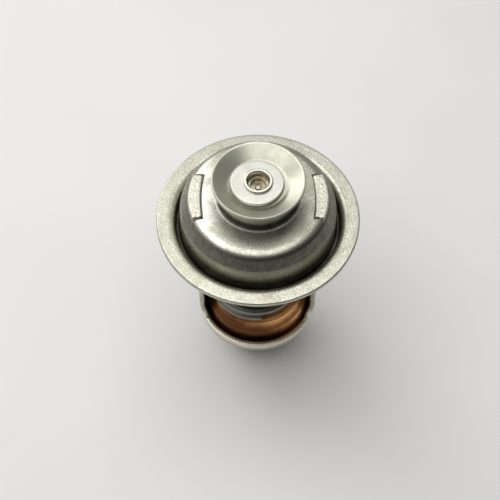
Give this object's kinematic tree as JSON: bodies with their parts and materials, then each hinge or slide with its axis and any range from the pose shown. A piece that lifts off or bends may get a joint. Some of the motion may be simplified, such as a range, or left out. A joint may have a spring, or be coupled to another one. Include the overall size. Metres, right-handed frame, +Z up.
{
  "type": "engine thermostat",
  "caption": "Engine thermostat: pressed steel flange and dome, dished valve disc on top, caged return spring and copper wax can below.",
  "frame": {"origin": "centre of the seating face under the flange", "axes": "+Z up the axis, towards the valve disc; the cage's two legs stand on the X axis; -Y is the front"},
  "size_m": [0.054, 0.054, 0.0761],
  "materials": {
    "housing_steel": "satin pressed stainless steel",
    "cage_steel": "satin pressed stainless steel",
    "disc_steel": "turned and tumbled stainless steel",
    "washer_steel": "tumbled stainless steel",
    "stem_steel": "turned stainless steel",
    "spring_steel": "bright drawn wire",
    "can_copper": "drawn copper",
    "guide_brass": "turned brass",
    "diaphragm_rubber": "moulded",
    "plug_rubber": "moulded",
    "slip_plastic": "skived",
    "wax": "copper-filled wax",
    "piston_steel": "ground"
  },
  "bodies": {
    "frame": {"dome_plate": "housing_steel", "cage": "cage_steel", "piston": "piston_steel", "return_spring": "spring_steel"},
    "valve": {"valve_disc": "disc_steel", "hub_washer": "washer_steel", "valve_stem": "stem_steel", "element_cup": "can_copper", "piston_guide": "guide_brass", "diaphragm": "diaphragm_rubber", "rubber_plug": "plug_rubber", "slip_disc": "slip_plastic", "wax_charge": "wax"}
  },
  "joints": [
    {"name": "valve_lift", "type": "slide", "parent": "frame", "child": "valve", "axis": [0, 0, 1], "range_m": [0, 0.009], "stiffness_N_per_m": 6180, "springref_m": -0.012, "deforming": ["return_spring"]}
  ]
}
